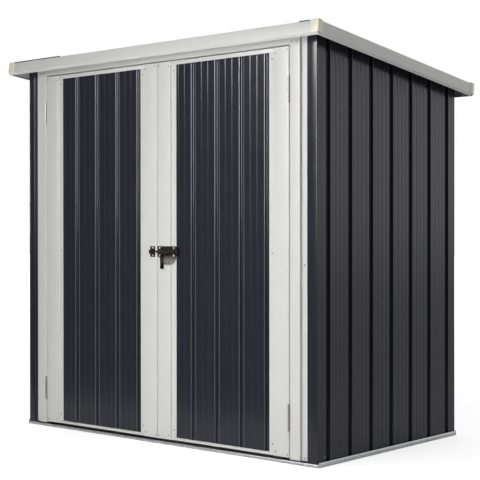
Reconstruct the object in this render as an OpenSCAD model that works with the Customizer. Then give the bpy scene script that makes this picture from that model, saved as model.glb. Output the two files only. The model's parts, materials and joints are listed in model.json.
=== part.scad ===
// Metal tool shed with a lean-to roof and a pair of hinged doors.
// Ribbed sheet walls stand in a rail frame on the ground and carry a framed roof.
// X runs along the front, the doors face -Y, and Z is up from the ground.

/* [Footprint and height] */
// Width over the base rails
base_w = 1824; // [1500:1:2400]
// Depth over the base rails
base_d = 1080; // [800:1:1600]
// Height of the roof's front top edge
roof_front_h = 1806; // [1600:1:2200]
// Fall of the roof from its front edge to its back edge
roof_fall = 146; // [60:1:220]

/* [Base rails] */
// Height of the side and back rails' outer lip
rail_h = 21; // [15:1:40]
// Height of the front rail's outer lip, under the doors
sill_h = 13; // [8:1:15]
// Width of the rail's foot on the ground
rail_foot = 40; // [30:1:60]
// Thickness of the folded rails, posts and frames
fold_t = 1.2; // [0.8:0.1:2]

/* [Ribbed sheets] */
// Thickness of the ribbed sheet
sheet_t = 0.7; // [0.5:0.1:1.2]
// Distance from a side rail's outer lip to the side wall's outer face
wall_inset = 8; // [6:0.5:14]
// Distance from the back rail's outer lip to the back wall's outer face
back_inset = 3; // [2:0.5:14]
// Width of one pressed groove
groove_w = 27; // [18:0.5:40]
// Depth of one pressed groove
groove_depth = 9; // [5:0.5:14]
// Width of a groove's sloping side
groove_slope = 4.5; // [3:0.5:8]
// Spacing of the grooves in the walls and the roof
wall_pitch = 155; // [120:1:200]
// Distance from the front base corner to the first groove of a side wall
side_first_groove = 75; // [60:1:110]

/* [Inner frame] */
// Leg of the angle posts in the back corners
post_leg = 40; // [25:1:50]
// Height of the angle rails inside the walls
inner_rail_h = 30; // [20:1:45]
// Inward leg of the angle rails inside the walls
inner_rail_leg = 22; // [15:1:35]
// Height of the middle rails above the ground
mid_rail_z = 868; // [600:1:1100]
// Width of the roof beam
beam_w = 40; // [30:1:60]

/* [Roof frame] */
// Overhang of the roof in front of the base rail
front_overhang = 72; // [50:1:120]
// Overhang of the roof behind the base rail
back_overhang = 66; // [40:1:120]
// Overhang of the roof beside the base rail
side_overhang = 55; // [40:1:100]
// Height of the fascia's upright face
fascia_h = 48; // [36:1:70]
// Width and height of the fascia's slanted lower lip
fascia_lip = 9; // [5:0.5:14]
// Width of the fascia's top flange over the roof sheet
fascia_flange = 24; // [18:1:36]
// Width of a corner cap along the front or back fascia
cap_front_w = 41; // [30:1:60]
// Width of a corner cap along the side fascia
cap_side_w = 30; // [29:1:60]
// Wall thickness of a corner cap
cap_t = 3; // [2:0.5:4]
// Height of a corner cap above the fascia
cap_rise = 5; // [4:0.5:8]

/* [Door frame] */
// Distance of the door faces in front of the base rail
door_proud = 5.5; // [4:0.5:10]
// Width of the jamb's box
jamb_w = 52; // [40:1:70]
// Depth of the jamb's box in front of its flange
jamb_rise = 14.5; // [12:0.5:20]
// Width of the jamb's outer flange
jamb_flange = 28; // [20:1:36]
// Width of the front corner panel beside the jamb's flange
corner_w = 56; // [45:1:90]
// Width of the front corner panel's raised flat
corner_flat = 36; // [24:1:42]
// Depth of the header box
header_depth = 34; // [28:1:44]

/* [Doors] */
// Clearance around the doors
door_gap = 6; // [5:0.5:9]
// Distance from the roof's front top edge down to the doors' top edge
door_drop = 77; // [70:1:140]
// Width of a door stile's box
stile_w = 80; // [60:1:100]
// Depth from a door stile's face to the door panel
stile_depth = 10.5; // [8:0.5:20]
// Width of a door stile's flange over the panel
stile_flange = 30; // [20:1:40]
// Height of the door's top rail
top_rail_h = 18; // [14:1:30]
// Height of the door's bottom rail
bottom_rail_h = 12; // [8:1:30]
// Distance of the door rails' faces behind the stiles' faces
door_rail_set = 2; // [0.5:0.5:4]
// Spacing of the grooves in the door panels
door_pitch = 140.5; // [100:1:180]
// Distance from the left edge of the visible panel to its first groove
door_first_groove = 88; // [40:1:120]

/* [Hinges] */
// Height of a hinge
hinge_h = 112; // [80:1:140]
// Distance from the door's top to the middle of its upper hinge
hinge_from_top = 178; // [120:1:260]
// Distance from the door's bottom to the middle of its lower hinge
hinge_from_bottom = 166; // [120:1:260]
// Radius of the hinge knuckle
knuckle_r = 4.5; // [4.3:0.1:5]
// Radius of the hinge pin
pin_r = 2.4; // [2:0.1:2.8]
// Thickness of a hinge leaf
leaf_t = 1.5; // [1:0.1:1.8]
// Depth of a hinge leaf behind the door's face
leaf_depth = 20; // [14:1:22]

/* [Latch] */
// Height of the latch bolt above the ground
latch_z = 873; // [700:1:1000]
// Width of the latch plate
latch_w = 124; // [115:1:140]
// Height of the latch plate
latch_h = 49; // [40:1:60]
// Radius of the latch plate's round apron
apron_r = 53; // [45:1:57]
// Radius of the bolt
bolt_r = 6; // [5:0.1:6.5]
// Travel of the bolt into its keeper
bolt_travel = 27; // [24:1:30]
// Distance from the middle of the bolt to the end of its handle
handle_drop = 78; // [50:1:90]
// Width of the keeper on the other door
keeper_w = 32; // [26:1:40]

/* [Hidden] */
$fn = 48;

// Colours
charcoal = [0.17, 0.17, 0.20];
off_white = [0.85, 0.86, 0.84];
cream = [0.93, 0.91, 0.82];
galvanised = [0.68, 0.68, 0.68];
nickel = [0.30, 0.29, 0.27];

// Roof plane: its own frame starts at the front top edge and falls along +Y
roof_d = front_overhang + base_d + back_overhang;
roof_w = base_w + 2 * side_overhang;
roof_pitch = atan(roof_fall / roof_d);
roof_len = roof_d / cos(roof_pitch);
roof_under = fold_t + groove_depth + sheet_t;

// The origin lies under the middle of the whole roof, caps included
roof_y_min = -cap_t * cos(roof_pitch) - fascia_h * sin(roof_pitch);
roof_y_max = (roof_len + cap_t) * cos(roof_pitch) + cap_rise * sin(roof_pitch);
roof_front_y = -(roof_y_min + roof_y_max) / 2;

// Outer lines of the base rails and the walls
front_y = roof_front_y + front_overhang;
back_y = front_y + base_d;
wall_x = base_w / 2 - wall_inset;
wall_back_y = back_y - back_inset;
corner_y = front_y + fold_t;
sheet_bottom = fold_t;
corner_leg = 30;
cut_over = 1;

// Grooves of the walls and the roof
side_len = base_d - back_inset;
side_grooves = floor((side_len - post_leg - groove_w / 2 - side_first_groove) / wall_pitch) + 1;
side_front_grooves = ceil(side_grooves / 2);
side_seam = side_first_groove + (side_front_grooves - 1) * wall_pitch + groove_w / 2 + groove_slope;
back_side_grooves = floor((wall_x - post_leg - groove_w / 2) / wall_pitch);
back_seam = 1.5 * wall_pitch;
roof_half_w = roof_w / 2 - fold_t;
roof_grooves = 2 * floor((roof_half_w - groove_w) / wall_pitch + 0.5);
roof_seam = 2 * wall_pitch;
rail_plane = wall_x - groove_depth - sheet_t;
back_rail_plane = wall_back_y - groove_depth - sheet_t;
side_rail_y0 = corner_y + corner_leg + door_gap;
side_rail_y1 = wall_back_y - post_leg - door_gap;
back_rail_half = rail_plane - inner_rail_leg - door_gap;

// Door frame, from the corner inwards
flange_x = wall_x - corner_w;
jamb_x = flange_x - jamb_flange;
opening_x = jamb_x - jamb_w;
face_y = front_y - door_proud;
flange_y = face_y + jamb_rise;
jamb_depth = 36;
jamb_leg_y = face_y + jamb_depth;
jamb_lip = 20;
corner_overlap = 20;
corner_slope = 4;

// Door leaf, for the right-hand door
door_x0 = door_gap / 2;
door_x1 = opening_x - door_gap;
door_bottom = rail_h + door_gap;
door_top = roof_front_h - door_drop;
panel_y = face_y + stile_depth;
panel_x0 = door_x0 + stile_w + stile_flange;
panel_x1 = door_x1 - stile_w - stile_flange;
panel_tuck = 24;
panel_back_gap = 3;
door_rail_y0 = face_y + door_rail_set;
door_rail_y1 = panel_y + groove_depth + sheet_t + panel_back_gap;
door_rail_len = door_x1 - door_x0 - 2 * stile_w;
door_grooves = floor((panel_x1 - panel_x0 - door_first_groove - groove_w) / door_pitch) + 1;

// Hinges
hinge_x = opening_x - door_gap / 2;
knuckle_clear = 1;
hinge_y = face_y - knuckle_r - knuckle_clear;
hinge_zs = [door_bottom + hinge_from_bottom, door_top - hinge_from_top];
knuckles = 5;
knuckle_gap = 0.5;
pin_play = 0.3;

// Latch
latch_t = 2;
bolt_clear = 2;
bolt_y = face_y - latch_t - bolt_r - bolt_clear;
bolt_play = 0.35;
guide_wall = 3;
guide_len = 14;
guide_inset = 7;
loop_r = bolt_r + bolt_play + guide_wall;
plate_inset = 1;
plate_x0 = door_x0 + plate_inset;
handle_w = 16;
handle_t = 6;
handle_clear = 6;
handle_x = plate_x0 + bolt_travel + handle_w / 2;
guide_xs = [handle_x + handle_w / 2 + handle_clear, plate_x0 + latch_w - guide_len - guide_inset];
bolt_inset = 0.5;
bolt_tip_x = door_x0 + bolt_inset;
bolt_len = guide_xs[1] + guide_len / 2 + bolt_travel - bolt_tip_x;
apron_drop = 8;
keeper_inset = 8;
keeper_x1 = -door_x0 - keeper_inset;

// Path of a ribbed sheet from a to b: u along the sheet, v out of it
function rib_path(a, b, centres) = concat(
    [[a, 0]],
    [for (c = centres) each [
        [c - groove_w / 2, 0],
        [c - groove_w / 2 + groove_slope, -groove_depth],
        [c + groove_w / 2 - groove_slope, -groove_depth],
        [c + groove_w / 2, 0]
    ]],
    [[b, 0]]
);

// Section of a ribbed sheet, with its thickness on the inside
module rib_section(a, b, centres) {
    path = rib_path(a, b, centres);
    last = len(path) - 1;
    polygon(concat(path, [for (i = [last:-1:0]) path[i] - [0, sheet_t]]));
}

// Moves a shape from the roof's own frame to its place
module on_roof() {
    translate([0, roof_front_y, roof_front_h]) rotate([-roof_pitch, 0, 0]) children();
}

// Cuts a wall or frame off under the roof sheets
module under_roof() {
    difference() {
        children();
        on_roof() translate([-roof_w / 2, 0, -roof_under]) cube([roof_w, roof_len, roof_front_h]);
    }
}

// Base rails: an outer lip on a foot, mitred at the corners
module rail_section(lip) {
    square([rail_foot, fold_t]);
    square([fold_t, lip]);
}

module base_rail(length, lip) {
    color(galvanised) intersection() {
        translate([-length / 2, 0, 0]) rotate([90, 0, 90]) linear_extrude(length) rail_section(lip);
        linear_extrude(lip) polygon([
            [-length / 2, 0], [length / 2, 0],
            [length / 2 - rail_foot, rail_foot], [rail_foot - length / 2, rail_foot]
        ]);
    }
}

module base_rail_front() { translate([0, front_y, 0]) base_rail(base_w, sill_h); }
module base_rail_back() { translate([0, back_y, 0]) rotate([0, 0, 180]) base_rail(base_w, rail_h); }
module base_rail_right() {
    translate([base_w / 2, front_y + base_d / 2, 0]) rotate([0, 0, 90]) base_rail(base_d, rail_h);
}
module base_rail_left() {
    translate([-base_w / 2, front_y + base_d / 2, 0]) rotate([0, 0, -90]) base_rail(base_d, rail_h);
}

// Side walls: two ribbed sheets each, standing in the base rails
module side_sheet(u0, u1, first, last) {
    centres = [for (i = [first:last]) side_first_groove + i * wall_pitch];
    color(charcoal) under_roof() translate([wall_x, front_y, sheet_bottom])
        linear_extrude(roof_front_h) mirror([1, -1]) rib_section(u0, u1, centres);
}

module wall_right_front() { side_sheet(fold_t, side_seam, 0, side_front_grooves - 1); }
module wall_right_rear() { side_sheet(side_seam, side_len, side_front_grooves, side_grooves - 1); }
module wall_left_front() { mirror([1, 0, 0]) wall_right_front(); }
module wall_left_rear() { mirror([1, 0, 0]) wall_right_rear(); }

// Back wall: three ribbed sheets between the side walls
module back_sheet(u0, u1, first, last) {
    centres = [for (i = [first:last]) i * wall_pitch];
    color(charcoal) under_roof() translate([0, wall_back_y, sheet_bottom])
        linear_extrude(roof_front_h) rib_section(u0, u1, centres);
}

module wall_back_middle() { back_sheet(-back_seam, back_seam, -1, 1); }
module wall_back_right() { back_sheet(back_seam, wall_x - sheet_t, 2, back_side_grooves); }
module wall_back_left() { mirror([1, 0, 0]) wall_back_right(); }

// Front corners: a narrow panel, set back under the jamb's flange, that turns in behind the side wall
module corner_section() {
    x0 = flange_x - corner_overlap;
    x1 = wall_x - sheet_t;
    edge = wall_x - corner_flat;
    floor_y = flange_y + fold_t - corner_y;
    path = [[x0, floor_y], [edge - corner_slope, floor_y], [edge, 0], [x1, 0]];
    last = len(path) - 1;
    polygon(concat(path, [for (i = [last:-1:0]) path[i] + [0, sheet_t]]));
    translate([x1 - sheet_t, 0]) square([sheet_t, corner_leg]);
}

module front_corner_right() {
    color(charcoal) under_roof() translate([0, corner_y, sheet_bottom])
        linear_extrude(roof_front_h) corner_section();
}
module front_corner_left() { mirror([1, 0, 0]) front_corner_right(); }

// Back corners: angle posts inside the walls
module back_corner_posts() {
    for (side = [0, 1]) mirror([side, 0, 0]) color(galvanised) under_roof()
        translate([wall_x - sheet_t, wall_back_y - sheet_t, sheet_bottom]) linear_extrude(roof_front_h) {
            translate([-post_leg, -fold_t]) square([post_leg, fold_t]);
            translate([-fold_t, -post_leg]) square([fold_t, post_leg]);
        }
}

// Middle and top rails: angles on the inner faces of the grooves
module angle_section() {
    translate([-fold_t, 0]) square([fold_t, inner_rail_h]);
    translate([-inner_rail_leg, 0]) square([inner_rail_leg, fold_t]);
}

module side_mid_rail() {
    translate([rail_plane, side_rail_y1, mid_rail_z]) rotate([90, 0, 0])
        linear_extrude(side_rail_y1 - side_rail_y0) angle_section();
}

module back_rail(length) {
    translate([-length / 2, back_rail_plane, 0]) rotate([90, 0, 90])
        linear_extrude(length) angle_section();
}

module wall_mid_rails() {
    color(galvanised) {
        side_mid_rail();
        mirror([1, 0, 0]) side_mid_rail();
        translate([0, 0, mid_rail_z]) back_rail(2 * back_rail_half);
    }
}

module side_top_rail() {
    rail_start = (side_rail_y0 - roof_front_y) / cos(roof_pitch);
    rail_end = (side_rail_y1 - roof_front_y) / cos(roof_pitch);
    on_roof() translate([rail_plane, rail_end, -roof_under - inner_rail_h]) rotate([90, 0, 0])
        linear_extrude(rail_end - rail_start) angle_section();
}

back_rail_top = roof_front_h - roof_fall * (back_rail_plane - roof_front_y) / roof_d
    - roof_under / cos(roof_pitch);
module wall_top_rails() {
    color(galvanised) {
        side_top_rail();
        mirror([1, 0, 0]) side_top_rail();
        under_roof() translate([0, 0, back_rail_top - inner_rail_h + fold_t])
            back_rail(2 * back_rail_half);
    }
}

// Roof beam: a channel across the middle, resting on the side top rails
module roof_beam() {
    half = rail_plane - fold_t;
    beam_h = inner_rail_h - fold_t;
    color(galvanised) on_roof() translate([-half, roof_len / 2 - beam_w / 2, -roof_under - beam_h])
        rotate([90, 0, 90]) linear_extrude(2 * half) difference() {
            square([beam_w, beam_h]);
            translate([fold_t, -fold_t]) square([beam_w - 2 * fold_t, beam_h]);
        }
}

// Door frame: two folded jambs and a header box
module jamb_section() {
    translate([jamb_x - fold_t, flange_y]) square([jamb_flange + fold_t, fold_t]);
    translate([jamb_x - fold_t, face_y]) square([fold_t, jamb_rise]);
    translate([opening_x, face_y]) square([jamb_w, fold_t]);
    translate([opening_x, face_y]) square([fold_t, jamb_leg_y - face_y]);
    translate([opening_x, jamb_leg_y - fold_t]) square([jamb_lip, fold_t]);
}

module door_jamb_right() {
    color(off_white) under_roof() translate([0, 0, rail_h]) linear_extrude(roof_front_h) jamb_section();
}
module door_jamb_left() { mirror([1, 0, 0]) door_jamb_right(); }

module door_header() {
    color(off_white) under_roof() translate([-opening_x, face_y, door_top + door_gap]) difference() {
        cube([2 * opening_x, header_depth, roof_front_h - door_top]);
        translate([-cut_over, fold_t, fold_t])
            cube([2 * (opening_x + cut_over), header_depth - 2 * fold_t, roof_front_h - door_top]);
    }
}

// Roof: ribbed sheets inside a frame of four fascias with plastic corner caps
module roof_sheet(u0, u1) {
    all_centres = [for (i = [0:roof_grooves - 1]) (i - (roof_grooves - 1) / 2) * wall_pitch];
    centres = [for (c = all_centres) if (c > u0 && c < u1) c];
    color(charcoal) on_roof() translate([0, roof_len - fold_t, -fold_t]) rotate([90, 0, 0])
        linear_extrude(roof_len - 2 * fold_t) rib_section(u0, u1, centres);
}

module roof_sheet_left() { roof_sheet(-roof_half_w, -roof_seam); }
module roof_sheet_middle() { roof_sheet(-roof_seam, roof_seam); }
module roof_sheet_right() { roof_sheet(roof_seam, roof_half_w); }

// Fascia face with its slanted lip: first value inwards, second upwards
module fascia_section() {
    polygon([
        [0, 0], [0, -fascia_h], [fascia_lip, -fascia_h - fascia_lip],
        [fascia_lip + fold_t, -fascia_h - fascia_lip], [fold_t, -fascia_h], [fold_t, 0]
    ]);
}

module fascia_flange_section() {
    translate([0, -fold_t]) square([fascia_flange, fold_t]);
}

module across_roof(length) {
    translate([-length / 2, 0, 0]) rotate([90, 0, 90]) linear_extrude(length) children();
}

module along_roof(length) {
    translate([roof_w / 2, length / 2, 0]) rotate([90, 0, 180]) mirror([0, 0, 1])
        linear_extrude(length) children();
}

module end_fascia() {
    across_roof(roof_w) fascia_section();
    across_roof(roof_w - 2 * fold_t) fascia_flange_section();
}

module fascia_front() { color(off_white) on_roof() end_fascia(); }
module fascia_back() {
    color(off_white) on_roof() translate([0, roof_len, 0]) rotate([0, 0, 180]) end_fascia();
}

module side_fascia() {
    face_len = roof_len - 2 * (fascia_lip + 2 * fold_t);
    flange_len = roof_len - 2 * fascia_flange;
    translate([0, roof_len / 2, 0]) {
        along_roof(face_len) fascia_section();
        along_roof(flange_len) fascia_flange_section();
    }
}

module fascia_right() { color(off_white) on_roof() side_fascia(); }
module fascia_left() { mirror([1, 0, 0]) fascia_right(); }

module corner_cap() {
    difference() {
        translate([roof_w / 2 + cap_t - cap_front_w, -cap_t, -fascia_h])
            cube([cap_front_w, cap_side_w, fascia_h + cap_rise]);
        translate([roof_w / 2 - cap_front_w, 0, -fascia_h - cut_over])
            cube([cap_front_w, cap_side_w, fascia_h + cap_rise - cap_t + cut_over]);
    }
}

module roof_corner_caps() {
    color(cream) on_roof() for (side = [0, 1], end = [0, 1])
        mirror([side, 0, 0]) translate([0, end * roof_len, 0]) mirror([0, end, 0]) corner_cap();
}

// Doors: folded stiles with a flange over the panel, and channels above and below it
module stile_section() {
    square([stile_w, fold_t]);
    square([fold_t, door_rail_y1 - face_y]);
    translate([stile_w - fold_t, 0]) square([fold_t, stile_depth]);
}

module stile() {
    height = door_top - door_bottom;
    linear_extrude(height) stile_section();
    translate([stile_w - fold_t, stile_depth - fold_t, fold_t])
        cube([stile_flange + fold_t, fold_t, height - 2 * fold_t]);
}

module right_door_lock_stile() { color(off_white) translate([door_x0, face_y, door_bottom]) stile(); }
module right_door_hinge_stile() {
    color(off_white) translate([door_x1, face_y, door_bottom]) mirror([1, 0, 0]) stile();
}
module left_door_lock_stile() { mirror([1, 0, 0]) right_door_lock_stile(); }
module left_door_hinge_stile() { mirror([1, 0, 0]) right_door_hinge_stile(); }

// Top rail: a channel over the panel's edge, open below
module right_door_top_rail() {
    depth = door_rail_y1 - door_rail_y0;
    color(off_white) translate([door_x0 + stile_w, door_rail_y0, door_top - top_rail_h]) difference() {
        cube([door_rail_len, depth, top_rail_h]);
        translate([-cut_over, fold_t, -fold_t])
            cube([door_rail_len + 2 * cut_over, depth - 2 * fold_t, top_rail_h]);
    }
}

// Bottom rail: a channel in front of the panel, open towards it
module right_door_bottom_rail() {
    depth = panel_y - fold_t - door_rail_y0;
    color(off_white) translate([door_x0 + stile_w, door_rail_y0, door_bottom]) difference() {
        cube([door_rail_len, depth, bottom_rail_h]);
        translate([-cut_over, fold_t, fold_t])
            cube([door_rail_len + 2 * cut_over, depth, bottom_rail_h - 2 * fold_t]);
    }
}
module left_door_bottom_rail() { mirror([1, 0, 0]) right_door_bottom_rail(); }
module left_door_top_rail() { mirror([1, 0, 0]) right_door_top_rail(); }

module door_panel(x0, x1) {
    centres = [for (i = [0:door_grooves - 1]) x0 + door_first_groove + groove_w / 2 + i * door_pitch];
    color(charcoal) translate([0, panel_y, door_bottom + fold_t])
        linear_extrude(door_top - door_bottom - 2 * fold_t)
            mirror([0, 1]) rib_section(x0 - panel_tuck, x1 + panel_tuck, centres);
}

module right_door_panel() { door_panel(panel_x0, panel_x1); }
module left_door_panel() { door_panel(-panel_x1, -panel_x0); }

// Hinges: leaves in the gap beside the door, knuckles in front of it
module knuckle(k, leaf_x) {
    step = hinge_h / knuckles;
    translate([0, 0, k * step + knuckle_gap / 2]) {
        translate([hinge_x, hinge_y, 0]) cylinder(r = knuckle_r, h = step - knuckle_gap);
        translate([leaf_x, hinge_y, 0]) cube([leaf_t, face_y + leaf_t - hinge_y, step - knuckle_gap]);
    }
}

module hinge_half(first, leaf_x, with_pin) {
    difference() {
        union() {
            translate([leaf_x, face_y, 0]) cube([leaf_t, leaf_depth, hinge_h]);
            for (k = [first:2:knuckles - 1]) knuckle(k, leaf_x);
            if (with_pin) translate([hinge_x, hinge_y, 0]) cylinder(r = pin_r, h = hinge_h);
        }
        if (!with_pin)
            translate([hinge_x, hinge_y, -cut_over])
                cylinder(r = pin_r + pin_play, h = hinge_h + 2 * cut_over);
    }
}

module hinge_pair(first, leaf_x, with_pin) {
    for (z = hinge_zs) translate([0, 0, z - hinge_h / 2]) hinge_half(first, leaf_x, with_pin);
}

module hinge_jamb_leaves() {
    color(galvanised) for (side = [0, 1]) mirror([side, 0, 0]) hinge_pair(0, opening_x - leaf_t, true);
}
module right_door_hinge_leaves() { color(galvanised) hinge_pair(1, door_x1, false); }
module left_door_hinge_leaves() { mirror([1, 0, 0]) right_door_hinge_leaves(); }

// Latch: a bolt in two guides on the right door, and a keeper on the left door
module bolt_guide(x) {
    translate([x, bolt_y, latch_z]) difference() {
        union() {
            rotate([0, 90, 0]) cylinder(r = loop_r, h = guide_len);
            translate([0, 0, -loop_r]) cube([guide_len, face_y - latch_t - bolt_y, 2 * loop_r]);
        }
        translate([-cut_over, 0, 0]) rotate([0, 90, 0])
            cylinder(r = bolt_r + bolt_play, h = guide_len + 2 * cut_over);
    }
}

module latch_plate() {
    color(nickel) {
        translate([0, face_y, 0]) rotate([90, 0, 0]) linear_extrude(latch_t) {
            translate([plate_x0, latch_z - latch_h / 2]) square([latch_w, latch_h]);
            intersection() {
                translate([plate_x0 + latch_w / 2, latch_z - apron_drop]) circle(r = apron_r);
                translate([plate_x0, latch_z - latch_w]) square(latch_w);
            }
        }
        for (x = guide_xs) bolt_guide(x);
    }
}

module latch_bolt() {
    color(nickel) {
        translate([bolt_tip_x, bolt_y, latch_z]) rotate([0, 90, 0]) cylinder(r = bolt_r, h = bolt_len);
        translate([handle_x - handle_w / 2, bolt_y - handle_t / 2, latch_z - handle_drop])
            cube([handle_w, handle_t, handle_drop]);
    }
}

module latch_keeper() {
    x0 = keeper_x1 - keeper_w;
    color(nickel) {
        translate([x0, face_y - latch_t, latch_z - latch_h / 2]) cube([keeper_w, latch_t, latch_h]);
        translate([x0 + (keeper_w - guide_len) / 2, bolt_y - loop_r, latch_z - loop_r]) difference() {
            cube([guide_len, face_y - latch_t - bolt_y + loop_r, 2 * loop_r]);
            translate([-cut_over, guide_wall, guide_wall])
                cube([guide_len + 2 * cut_over, face_y - bolt_y + loop_r, 2 * (bolt_r + bolt_play)]);
        }
    }
}

base_rail_front();
base_rail_back();
base_rail_left();
base_rail_right();
wall_left_front();
wall_left_rear();
wall_right_front();
wall_right_rear();
wall_back_left();
wall_back_middle();
wall_back_right();
front_corner_left();
front_corner_right();
back_corner_posts();
wall_mid_rails();
wall_top_rails();
roof_beam();
door_jamb_left();
door_jamb_right();
door_header();
roof_sheet_left();
roof_sheet_middle();
roof_sheet_right();
fascia_front();
fascia_back();
fascia_left();
fascia_right();
roof_corner_caps();
left_door_hinge_stile();
left_door_lock_stile();
left_door_top_rail();
left_door_bottom_rail();
left_door_panel();
right_door_hinge_stile();
right_door_lock_stile();
right_door_top_rail();
right_door_bottom_rail();
right_door_panel();
hinge_jamb_leaves();
left_door_hinge_leaves();
right_door_hinge_leaves();
latch_plate();
latch_bolt();
latch_keeper();
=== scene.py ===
"""Looks of a metal tool shed with a lean-to roof and a pair of hinged doors.

The sections follow the way the shed is put together: base rails, walls, inner frame, door frame,
roof, doors, hinges, latch and screws, and then the studio around it. Lengths are in millimetres
where they are written and become metres through MM.
"""

import json
import math

import bmesh
import bpy
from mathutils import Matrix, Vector

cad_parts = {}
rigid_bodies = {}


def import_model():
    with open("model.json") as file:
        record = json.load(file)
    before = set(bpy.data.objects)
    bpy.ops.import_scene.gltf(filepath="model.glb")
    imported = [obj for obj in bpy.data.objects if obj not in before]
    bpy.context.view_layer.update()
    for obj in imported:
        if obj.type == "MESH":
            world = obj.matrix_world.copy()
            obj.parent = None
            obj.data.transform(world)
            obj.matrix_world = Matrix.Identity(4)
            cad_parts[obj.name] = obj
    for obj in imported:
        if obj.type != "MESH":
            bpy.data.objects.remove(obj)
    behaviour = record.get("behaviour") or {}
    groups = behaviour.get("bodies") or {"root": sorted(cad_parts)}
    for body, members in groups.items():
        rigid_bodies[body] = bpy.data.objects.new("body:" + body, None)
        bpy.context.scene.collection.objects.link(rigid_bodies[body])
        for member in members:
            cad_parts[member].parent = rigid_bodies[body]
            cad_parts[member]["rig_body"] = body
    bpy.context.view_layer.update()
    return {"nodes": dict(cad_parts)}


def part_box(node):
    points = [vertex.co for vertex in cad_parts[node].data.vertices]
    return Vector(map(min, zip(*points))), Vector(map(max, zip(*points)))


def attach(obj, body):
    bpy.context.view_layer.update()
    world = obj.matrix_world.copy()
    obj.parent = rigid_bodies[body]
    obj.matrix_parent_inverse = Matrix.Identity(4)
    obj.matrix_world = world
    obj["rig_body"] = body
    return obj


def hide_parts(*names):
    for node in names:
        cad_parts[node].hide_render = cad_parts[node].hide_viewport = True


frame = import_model()
nodes = frame["nodes"]


# Base rails: four angle rails that lie on the ground and hold the feet of the walls.
# They are folded from hot-dip galvanised steel strip, mitred at the corners and screwed through the walls.
# Zinc leaves grey crystals of about a finger's width, each with its own tone and gloss.
MM = 0.001
FOLD_EASE = 0.4 * MM
MERGE_WITHIN = 0.01 * MM
FLAT_WITHIN = math.radians(1)
SMOOTH_BELOW = math.radians(35)
SPANGLE = 12 * MM
SPANGLE_DARK = "CBCDCF"
SPANGLE_LIGHT = "DEDFE0"


def linear(hex_colour):
    """An sRGB hex colour as the linear RGBA that Blender's sockets take."""
    values = [int(hex_colour[i:i + 2], 16) / 255 for i in (0, 2, 4)]
    return [v / 12.92 if v <= 0.04045 else ((v + 0.055) / 1.055) ** 2.4 for v in values] + [1]


def add(tree, kind, inputs=None, **settings):
    """Adds a node with its settings; an input that is a socket, or a list of sockets, is linked."""
    node = tree.nodes.new(kind)
    for name, value in settings.items():
        setattr(node, name, value)
    for key, value in (inputs or {}).items():
        sources = value if isinstance(value, list) else [value]
        if isinstance(sources[0], bpy.types.NodeSocket):
            for source in sources:
                tree.links.new(source, node.inputs[key])
        else:
            node.inputs[key].default_value = value
    return node.outputs


def start_finish(name):
    """A new material without nodes, its tree, and the Object coordinates that its patterns read."""
    material = bpy.data.materials.new(name)
    material.use_nodes = True
    material.node_tree.nodes.clear()
    return material, material.node_tree, add(material.node_tree, "ShaderNodeTexCoord")["Object"]


def stand_for(piece, node):
    """The piece takes a CAD node's place and body, and the CAD node is hidden."""
    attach(piece, nodes[node]["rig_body"])
    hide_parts(node)


def eased(node, ease, material, segments=2):
    """A copy of a CAD node with its edges rounded as a press brake or a mould leaves them."""
    made = bmesh.new()
    made.from_mesh(nodes[node].data)
    bmesh.ops.remove_doubles(made, verts=made.verts, dist=MERGE_WITHIN)
    bmesh.ops.dissolve_limit(made, angle_limit=FLAT_WITHIN, verts=made.verts, edges=made.edges)
    sharp = [e for e in made.edges if len(e.link_faces) == 2 and e.calc_face_angle() > SMOOTH_BELOW]
    bmesh.ops.bevel(
        made, geom=sharp, offset=ease, segments=segments, profile=0.5, affect="EDGES", clamp_overlap=True
    )
    mesh = bpy.data.meshes.new("shown_" + node)
    made.to_mesh(mesh)
    made.free()
    mesh.shade_smooth()
    mesh.set_sharp_from_angle(angle=SMOOTH_BELOW)
    mesh.materials.clear()
    mesh.materials.append(material)
    piece = bpy.data.objects.new("shown_" + node, mesh)
    bpy.context.scene.collection.objects.link(piece)
    stand_for(piece, node)
    return piece


galvanised, tree, where = start_finish("Hot-dip galvanised steel")
crystals = add(tree, "ShaderNodeTexVoronoi", {"Vector": where, "Scale": 1 / SPANGLE})
tone = add(tree, "ShaderNodeSeparateXYZ", {"Vector": crystals["Color"]})["X"]
zinc = add(
    tree, "ShaderNodeMix", {0: tone, 6: linear(SPANGLE_DARK), 7: linear(SPANGLE_LIGHT)}, data_type="RGBA"
)[2]
gloss = add(tree, "ShaderNodeMapRange", {"Value": tone, "To Min": 0.36, "To Max": 0.52})[0]
steel = add(tree, "ShaderNodeBsdfPrincipled", {"Base Color": zinc, "Roughness": gloss, "Metallic": 0.85})
add(tree, "ShaderNodeOutputMaterial", {"Surface": steel["BSDF"]})

for side in ("front", "back", "left", "right"):
    eased("base_rail_" + side, FOLD_EASE, galvanised)


# Wall sheets: long panels of thin steel, roll-formed with deep grooves and beads and screwed to the rails.
# Two stand along each side and three along the back, painted charcoal before they were formed.
# The satin coat has a faint orange peel, pale painted highlights along the groove edges, and painted shade that
# darkens and dulls the grooves.
CHARCOAL = "26272F"
CHARCOAL_WORN = "2B2C35"
CHARCOAL_PAINTED_HIGHLIGHT = "B0B2C2"
PAINTED_HIGHLIGHT_METAL = 0.8
GROOVE_PAINTED_SHADE = "17171B"
PLAIN_SHINE = 0.5
PAINTED_SHADE_SHINE = 0.15
COAT_CLOUDS = 90 * MM
ORANGE_PEEL = 2.5 * MM
PEEL_HEIGHT = 0.02 * MM
SHEET_T = 0.7 * MM
GROOVE_DEPTH = 9 * MM
GROOVE_ROUND = 9 * MM
BEND_LINE = 2.5 * MM
BEAD_W = 11 * MM
BEAD_DEPTH = 0.88 * MM
PROFILE_STEP = 0.6 * MM
WALL_PITCH = 155 * MM
WALL_GROOVE = 38 * MM
WALL_BEADS = 3
WALL_PAINTED_HIGHLIGHT = 0.3
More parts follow.
